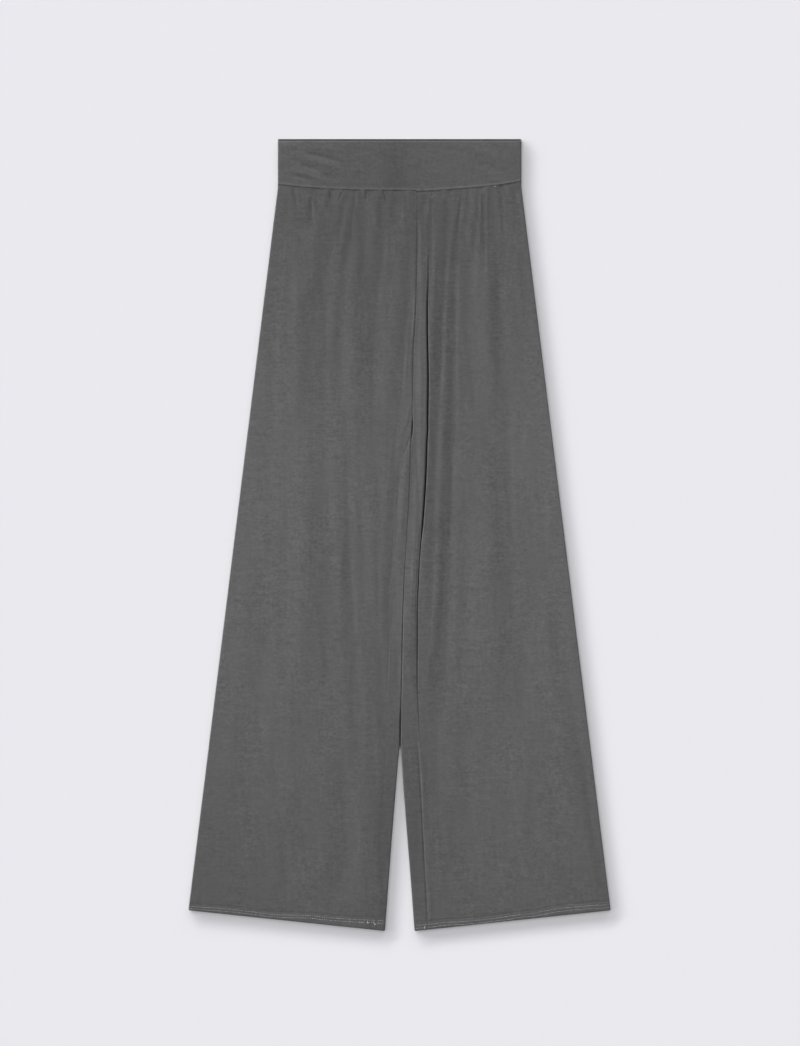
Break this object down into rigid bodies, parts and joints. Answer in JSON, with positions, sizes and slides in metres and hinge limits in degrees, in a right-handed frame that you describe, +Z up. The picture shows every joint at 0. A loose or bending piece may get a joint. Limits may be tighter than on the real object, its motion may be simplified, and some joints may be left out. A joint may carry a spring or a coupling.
{
  "type": "wide-leg joggers",
  "caption": "Wide-leg jersey joggers laid flat, front up: deep doubled waistband with soft gathers below it, flared legs with turned-up hems and a deep tuck beside the centre-front seam.",
  "frame": {"origin": "centre of the laid garment's outline, on the surface that it lies on", "axes": "+Y to the waist, -Y to the hems, +X to the wearer's left leg, +Z up from the surface, out of the front"},
  "size_m": [0.5708, 1.0699, 0.0068],
  "materials": {
    "leg_jersey": "fine mid-grey viscose jersey with short slubs, soft and nearly matt",
    "band_jersey": "the same jersey, doubled and folded at its top edge"
  },
  "bodies": {
    "root": {"front_left": "leg_jersey", "front_right": "leg_jersey", "back_left": "leg_jersey", "back_right": "leg_jersey", "waistband": "band_jersey"}
  },
  "joints": []
}
